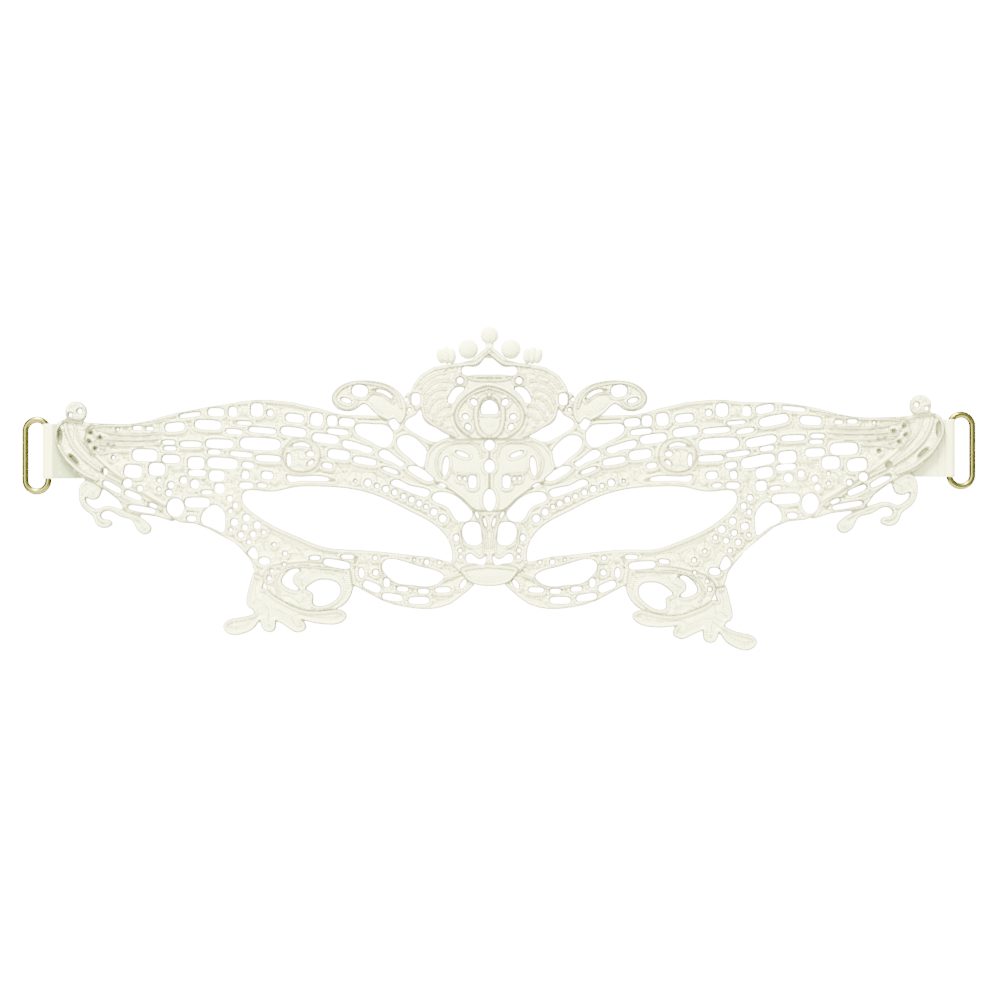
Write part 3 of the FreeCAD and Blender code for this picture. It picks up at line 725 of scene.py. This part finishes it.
def woundBeads():
    bm = bmesh.new()
    for x, z, radius in beadRow["places"]:
        at = Matrix.Translation((x * mm, beadRow["middle"] * mm, z * mm))
        at = at @ Matrix.Diagonal((1, beadRow["depth"], 1, 1))
        bmesh.ops.create_uvsphere(bm, u_segments=48, v_segments=28, radius=radius * mm, matrix=at)
    outX, outZ = beadRow["outer"]
    for side in (-1, 1):
        # the outermost beads are three padded ribs that fan outwards
        for shift, lift, wide, tall in beadRow["lobes"]:
            at = Matrix.Translation((side * (outX + shift) * mm, beadRow["middle"] * mm, (outZ + lift) * mm))
            at = at @ Matrix.Rotation(side * (beadRow["lean"] + shift * beadRow["fan"]), 4, "Y")
            at = at @ Matrix.Diagonal((wide, beadRow["lobeDepth"], tall, 1))
            bmesh.ops.create_uvsphere(bm, u_segments=40, v_segments=24, radius=mm, matrix=at)
    stem = beadRow["stem"]
    at = Matrix.Translation((0, beadRow["middle"] * mm, stem["z"] * mm))
    at = at @ Matrix.Diagonal((1, stem["depth"], 1, 1))
    bmesh.ops.create_cone(bm, cap_ends=True, segments=32, radius1=stem["low"] * mm, radius2=stem["high"] * mm,
                          depth=stem["length"] * mm, matrix=at)
    beads = keepMesh(bm, "crown_beads_wound")
    spots = [v.co / mm for v in beads.data.vertices]
    marks = {"stitchRun": [spot.x * beadRow["slant"] + spot.z for spot in spots],
             "rowAcross": [beadRow["row"]] * len(spots), "satinWork": [1.0] * len(spots)}
    for mark, values in marks.items():
        beads.data.attributes.new(mark, "FLOAT", "POINT").data.foreach_set("value", values)
    wearFinish(beads, laceMaterial)
    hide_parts("crown_beads")
    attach(beads, "face_panel")


woundBeads()
print("lace worked")

# rings, tabs and seams

ends = {
    "left": {"leg": 135.3, "ring": 28.3, "low": 21.3, "high": 38.0},
    "right": {"leg": 141.0, "ring": 29.9, "low": 21.8, "high": 39.4},
}
ringShape = {"wire": 1.0, "half": 7.5, "bend": 3.5, "depth": 1.58}    # half is half of a straight leg
tabShape = {"cloth": 0.42, "start": 118.0, "roll": 1.42, "edge": 0.1, "wrap": 3.9}
tabBack = {"easeAt": 1.4, "easeIn": 0.25, "weldAt": 5.5, "weldDepth": 0.86, "endGap": 0.6, "endDepth": 0.78}
stitch = {"rows": (119.2, 126.5), "lastRow": 3.9, "count": 7, "margin": 1.4, "back": 1.02, "front": -0.1,
          "lean": 0.08, "size": (0.22, 0.2, 0.95, 1)}


def bentRing(word, side):
    end = ends[word]
    y = ringShape["depth"] * mm
    leg = side * end["leg"] * mm
    bm = bmesh.new()
    turn = Matrix.Translation((leg, y, (end["ring"] - ringShape["half"]) * mm))
    bmesh.ops.create_circle(bm, cap_ends=False, segments=32, radius=ringShape["wire"] * mm, matrix=turn)
    edges = list(bm.edges)
    for step in (1, -1):
        grown = bmesh.ops.extrude_edge_only(bm, edges=edges)["geom"]
        verts = [g for g in grown if isinstance(g, bmesh.types.BMVert)]
        bmesh.ops.translate(bm, verts=verts, vec=(0, 0, step * 2 * ringShape["half"] * mm))
        edges = [g for g in grown if isinstance(g, bmesh.types.BMEdge)]
        centre = (leg + side * ringShape["bend"] * mm, y, (end["ring"] + step * ringShape["half"]) * mm)
        spun = bmesh.ops.spin(bm, geom=verts + edges, cent=centre, axis=(0, 1, 0),
                              angle=side * math.pi, steps=28)
        edges = [g for g in spun["geom_last"] if isinstance(g, bmesh.types.BMEdge)]
    bmesh.ops.remove_doubles(bm, verts=bm.verts, dist=0.00001)
    bmesh.ops.recalc_face_normals(bm, faces=bm.faces)
    ring = keepMesh(bm, "wire_ring_" + word)
    wearFinish(ring, ringMaterial)
    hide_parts("ring_" + word)
    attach(ring, word + "_ring")


def foldedTab(word, side):
    # one strip of cloth: along the lace's back, round the wire, and back over itself
    end = ends[word]
    y = ringShape["depth"]
    bm = bmesh.new()
    roll = tabShape["roll"]
    first = bm.verts.new((side * tabShape["start"] * mm, (y - roll) * mm, end["low"] * mm))
    turnAt = bm.verts.new((side * end["leg"] * mm, (y - roll) * mm, end["low"] * mm))
    bm.edges.new((first, turnAt))
    spun = bmesh.ops.spin(bm, geom=[turnAt], cent=(side * end["leg"] * mm, y * mm, 0), axis=(0, 0, 1),
                          angle=side * math.pi, steps=18)
    last = [g for g in spun["geom_last"] if isinstance(g, bmesh.types.BMVert)][0]
    course = ((tabBack["easeAt"], y + roll - tabBack["easeIn"]), (tabBack["weldAt"], tabBack["weldDepth"]),
              (end["leg"] - tabShape["start"] - tabBack["endGap"], tabBack["endDepth"]))
    for back, depth in course:
        step = bm.verts.new((side * (end["leg"] - back) * mm, depth * mm, end["low"] * mm))
        bm.edges.new((last, step))
        last = step
    grown = bmesh.ops.extrude_edge_only(bm, edges=bm.edges[:])["geom"]
    verts = [g for g in grown if isinstance(g, bmesh.types.BMVert)]
    bmesh.ops.translate(bm, verts=verts, vec=(0, 0, (end["high"] - end["low"]) * mm))
    bmesh.ops.remove_doubles(bm, verts=bm.verts, dist=0.00001)
    across = [e for e in bm.edges if abs(e.verts[0].co.z - e.verts[1].co.z) > 0.001]
    bmesh.ops.subdivide_edges(bm, edges=across, cuts=24, use_grid_fill=True)
    along = [e for e in bm.edges if e.calc_length() > 0.002]
    bmesh.ops.subdivide_edges(bm, edges=along, cuts=14, use_grid_fill=True)
    bmesh.ops.recalc_face_normals(bm, faces=bm.faces)
    tab = keepMesh(bm, "strap_tab_" + word)
    wall = tab.modifiers.new("cloth", "SOLIDIFY")
    wall.thickness = tabShape["cloth"] * mm
    wall.offset = 0
    edge = tab.modifiers.new("soft edge", "BEVEL")
    edge.width = tabShape["edge"] * mm
    edge.segments = 2
    edge.limit_method = "ANGLE"
    wearFinish(tab, tabMaterial)
    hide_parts("tab_" + word)
    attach(tab, word + "_wing")


def seamStitches(word, side):
    # two rows behind the lace, and one at the tab's edge that shows on both faces
    end = ends[word]
    bm = bmesh.new()
    lastRow = end["leg"] - stitch["lastRow"]
    length = end["high"] - end["low"] - 2 * stitch["margin"]
    for row in (*stitch["rows"], lastRow):
        depths = (stitch["back"], stitch["front"]) if row == lastRow else (stitch["back"],)
        for i in range(stitch["count"]):
            z = end["low"] + stitch["margin"] + length * i / (stitch["count"] - 1)
            for depth in depths:
                tilt = Matrix.Rotation(random.uniform(-stitch["lean"], stitch["lean"]), 4, "Y")
                at = Matrix.Translation((side * row * mm, depth * mm, z * mm)) @ tilt
                at = at @ Matrix.Diagonal(stitch["size"])
                bmesh.ops.create_uvsphere(bm, u_segments=10, v_segments=8, radius=mm, matrix=at)
    seam = keepMesh(bm, "tab_stitches_" + word)
    wearFinish(seam, seamMaterial)
    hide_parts("tab_seam_" + word)
    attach(seam, word + "_wing")


for word, side in sides:
    bentRing(word, side)
    foldedTab(word, side)
    seamStitches(word, side)
print("ends fitted")

# pale floor, soft light and camera

studio = {
    "floorDrop": 0.26,
    "floorRadius": 0.5,
    "lens": 90.0,
    "frameWide": 0.306,
    "aimX": 0.0032,
    "aimZ": 0.0147,
    "seenWhite": 18.0,         # strength of the room where the camera sees it
    "roomLight": 1.0,          # strength with which it lights the mask
    "roomTint": (0.99, 1.0, 0.66),
    "lampAim": (0, 0, 0.02),
    "lamps": {                 # place, size, power
        "overheadSoft": ((-0.2, -0.5, 1.0), 0.45, 182.0),
        "frontFill": ((-0.5, -1.3, 0.3), 0.9, 34.0),
        "backFill": ((0.3, 1.3, 0.4), 0.9, 24.0),
    },
}


def paleFloor():
    bm = bmesh.new()
    bmesh.ops.create_circle(bm, cap_ends=True, segments=128, radius=studio["floorRadius"],
                            matrix=Matrix.Translation((0, 0, -studio["floorDrop"])))
    floor = keepMesh(bm, "studioFloor")
    f = Finish("paleFloor", Roughness=0.9)
    tone = f.node("ShaderNodeTexNoise", None, {"Vector": f.place(), "Scale": 0.6}, out="Fac")
    f.feed("Base Color", f.blendColours(tone, (0.93, 0.93, 0.93, 1), (0.96, 0.96, 0.96, 1)))
    floor.data.materials.append(f.material)


def softLight(name, place, size, power):
    lamp = bpy.data.lights.new(name, "AREA")
    lamp.shape = "DISK"
    lamp.size = size
    lamp.energy = power
    lamp.color = studio["roomTint"]
    holder = bpy.data.objects.new(name, lamp)
    holder.location = place
    holder.rotation_euler = (Vector(studio["lampAim"]) - Vector(place)).to_track_quat("-Z", "Y").to_euler()
    bpy.context.scene.collection.objects.link(holder)


paleFloor()
for lampName, (place, size, power) in studio["lamps"].items():
    softLight(lampName, place, size, power)


def whiteRoom():
    # the room reads as plain white behind the mask and lights it softly from all round
    world = bpy.data.worlds.new("whiteRoom")
    world.use_nodes = True
    tree = world.node_tree
    path = tree.nodes.new("ShaderNodeLightPath")
    spread = tree.nodes.new("ShaderNodeMapRange")
    spread.inputs["To Min"].default_value = studio["roomLight"]
    spread.inputs["To Max"].default_value = studio["seenWhite"]
    tree.links.new(path.outputs["Is Camera Ray"], spread.inputs["Value"])
    tree.links.new(spread.outputs["Result"], tree.nodes["Background"].inputs["Strength"])
    tint = tree.nodes.new("ShaderNodeMix")
    tint.data_type = "RGBA"
    tint.inputs[6].default_value = (*studio["roomTint"], 1)
    tint.inputs[7].default_value = (1, 1, 1, 1)
    tree.links.new(path.outputs["Is Camera Ray"], tint.inputs[0])
    tree.links.new(tint.outputs[2], tree.nodes["Background"].inputs["Color"])
    bpy.context.scene.world = world


whiteRoom()

view = bpy.data.cameras.new("frontView")
view.lens = studio["lens"]
view.sensor_width = 36.0
view.clip_start = 0.01
cameraHolder = bpy.data.objects.new("frontView", view)
distance = studio["frameWide"] * studio["lens"] / view.sensor_width
cameraHolder.location = (studio["aimX"], -distance, studio["aimZ"])
cameraHolder.rotation_euler = (math.radians(90), 0, 0)
bpy.context.scene.collection.objects.link(cameraHolder)
bpy.context.scene.camera = cameraHolder
print("studio ready")
